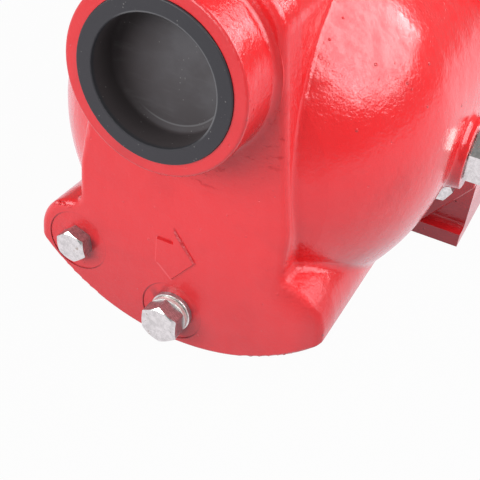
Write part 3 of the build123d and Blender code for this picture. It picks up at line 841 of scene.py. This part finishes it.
def screw(shape, frame_at, flats, steps=48):
    """A hex washer head screw."""
    washer = flats * 0.78
    height = flats * 0.14
    under = -0.0002
    section = (
        (washer * 0.6, under), (washer, under), (washer, height * 0.6),
        (washer * 0.93, height), (washer * 0.5, height),
    )
    rows = bridge(shape, [circle(frame_at, r, h, steps) for r, h in section])
    shape.faces.new(rows[0])
    shape.faces.new(rows[-1])
    hex_head(shape, frame_at, flats, flats * 0.5, flats * 0.25, flats * 0.4, steps=steps)


def direction(turn, rise):
    """A direction at an angle round the pump from the front, and a rise above the horizon."""
    return Vector((math.sin(turn) * math.cos(rise), -math.cos(turn) * math.cos(rise), math.sin(rise)))


def lamp(name, aim, turn, rise, distance, width, height, brightness, outline="RECTANGLE"):
    """A flat lamp that faces the pump, at an angle round it from the front and a rise in degrees."""
    light = bpy.data.lights.new(name, "AREA")
    light.shape = outline
    light.size = width
    light.size_y = height
    share_lit = math.pi / 4 if outline == "ELLIPSE" else 1.0
    light.energy = brightness * math.pi * width * height * share_lit
    away = direction(math.radians(turn), math.radians(rise))
    holder = bpy.data.objects.new(name, light)
    bpy.context.scene.collection.objects.link(holder)
    holder.location = Vector(aim) + away * distance
    holder.rotation_euler = away.to_track_quat("Z", "Y").to_euler()
    holder.visible_camera = False
    return holder


class PUMP_OT_set_stage(Operator):
    """Pale floor, soft lamps and the camera"""

    bl_idname = "pump.set_stage"
    bl_label = "Set Stage"

    def execute(self, context):
        studio = context.scene.pump_studio
        scene = context.scene

        # Floor
        shape = bmesh.new()
        bmesh.ops.create_grid(shape, x_segments=8, y_segments=8, size=studio.floor_size / 2)
        mesh = bpy.data.meshes.new("floor")
        shape.to_mesh(mesh)
        shape.free()
        floor = bpy.data.objects.new("floor", mesh)
        scene.collection.objects.link(floor)
        pale = Finish("pale_floor")
        pale.set("Base Color", studio.floor_colour)
        pale.set("Roughness", 0.8)

        # To the camera the floor is plain white, and to whatever mirrors it a little violet
        paths = pale.tree.nodes.new("ShaderNodeLightPath")
        seen = Value(pale, paths.outputs["Is Camera Ray"])
        glossy = Value(pale, paths.outputs["Is Glossy Ray"])
        glow = pale.node("ShaderNodeEmission", {}, {"Color": (1.0, 1.0, 1.0), "Strength": 1.0})
        mirrored = pale.node("ShaderNodeEmission", {}, {"Color": studio.mirrored_sheet, "Strength": 1.0})
        glow = pale.node("ShaderNodeMixShader", {}, {0: glossy, 1: glow, 2: mirrored})
        # The white sheet ends in front of the pump, so what mirrors the floor further out is darker
        sheet = 1.0 - pale.ramp(-1.0 * pale.y, studio.sheet_front, studio.sheet_front + 0.08) * 0.65
        both = pale.node(
            "ShaderNodeMixShader", {},
            {0: seen.high(glossy * sheet) * 0.97, 1: Value(pale, pale.shader.outputs[0]), 2: glow},
        )
        pale.tree.links.new(both.socket, pale.output.inputs[0])
        mesh.materials.append(pale.material)

        # Camera at the photograph's angle
        turn, rise, roll = studio.camera_turn, studio.camera_rise, studio.camera_roll
        back = direction(turn, rise)
        level = Vector((math.cos(turn), math.sin(turn), 0.0))
        upright = back.cross(level)
        right = math.cos(roll) * level + math.sin(roll) * upright
        up = math.cos(roll) * upright - math.sin(roll) * level
        view = bpy.data.cameras.new("photo_camera")
        view.sensor_width = 36.0
        view.lens = studio.lens
        view.clip_start = 0.01
        camera = bpy.data.objects.new("photo_camera", view)
        scene.collection.objects.link(camera)
        place = Matrix.Translation(studio.camera_place)
        camera.matrix_world = place @ Matrix((right, up, back)).transposed().to_4x4()
        scene.camera = camera

        # Softboxes in front and on the right, and two narrow strips by the ends of the right one
        lamp("front_softbox", BULB, -28.0, 20.0, 0.9, 0.80, 0.50, studio.key_light)
        lamp("side_softbox", BULB, 101.0, 44.0, 1.3, 1.80, 1.30, studio.side_light, "ELLIPSE")
        lamp("right_strip", BULB, 134.5, 29.0, 1.2, 0.04, 0.34, studio.strip_light)
        lamp("left_strip", BULB, 77.0, 31.0, 1.2, 0.05, 0.22, studio.strip_light * 0.6)

        # The room: even light, and plain white to the camera
        world = bpy.data.worlds.new("room")
        scene.world = world
        world.use_nodes = True
        nodes, links = world.node_tree.nodes, world.node_tree.links
        room = nodes["Background"]
        room.inputs["Color"].default_value = (1.0, 1.0, 1.0, 1.0)
        room.inputs["Strength"].default_value = studio.room_light
        white = nodes.new("ShaderNodeBackground")
        white.inputs["Color"].default_value = (1.0, 1.0, 1.0, 1.0)
        white.inputs["Strength"].default_value = 1.0
        seen = nodes.new("ShaderNodeLightPath")
        either = nodes.new("ShaderNodeMixShader")
        links.new(seen.outputs["Is Camera Ray"], either.inputs[0])
        links.new(room.outputs[0], either.inputs[1])
        links.new(white.outputs[0], either.inputs[2])
        links.new(either.outputs[0], nodes["World Output"].inputs[0])
        scene.view_settings.view_transform = "Standard"
        return {"FINISHED"}


class PUMP_PT_sidebar(Panel):
    """Lists the pump's finishes, fittings and stage"""

    bl_label = "Jet Pump"
    bl_idname = "PUMP_PT_sidebar"
    bl_space_type = "VIEW_3D"
    bl_region_type = "UI"
    bl_category = "Jet Pump"

    def draw(self, context):
        layout = self.layout
        for name in GROUPS:
            group = getattr(context.scene, name)
            box = layout.box()
            for prop in group.__annotations__:
                box.prop(group, prop)
        for operator in OPERATORS:
            layout.operator(operator.bl_idname)


GROUPS = {"pump_finishes": PumpFinishes, "pump_fittings": PumpFittings, "pump_studio": PumpStudio}
OPERATORS = (
    PUMP_OT_paint_castings,
    PUMP_OT_add_paint_beads,
    PUMP_OT_finish_port_plug,
    PUMP_OT_finish_fasteners,
    PUMP_OT_cut_port_thread,
    PUMP_OT_finish_motor,
    PUMP_OT_set_stage,
)
CLASSES = (*GROUPS.values(), *OPERATORS, PUMP_PT_sidebar)


def register():
    for cls in CLASSES:
        bpy.utils.register_class(cls)
    for name, group in GROUPS.items():
        setattr(bpy.types.Scene, name, PointerProperty(type=group))


def unregister():
    for name in GROUPS:
        delattr(bpy.types.Scene, name)
    for cls in reversed(CLASSES):
        bpy.utils.unregister_class(cls)


def main():
    register()
    bpy.ops.pump.paint_castings()
    bpy.ops.pump.add_paint_beads()
    bpy.ops.pump.finish_port_plug()
    bpy.ops.pump.finish_fasteners()
    bpy.ops.pump.cut_port_thread()
    bpy.ops.pump.finish_motor()
    bpy.ops.pump.set_stage()


if __name__ == "__main__":
    main()
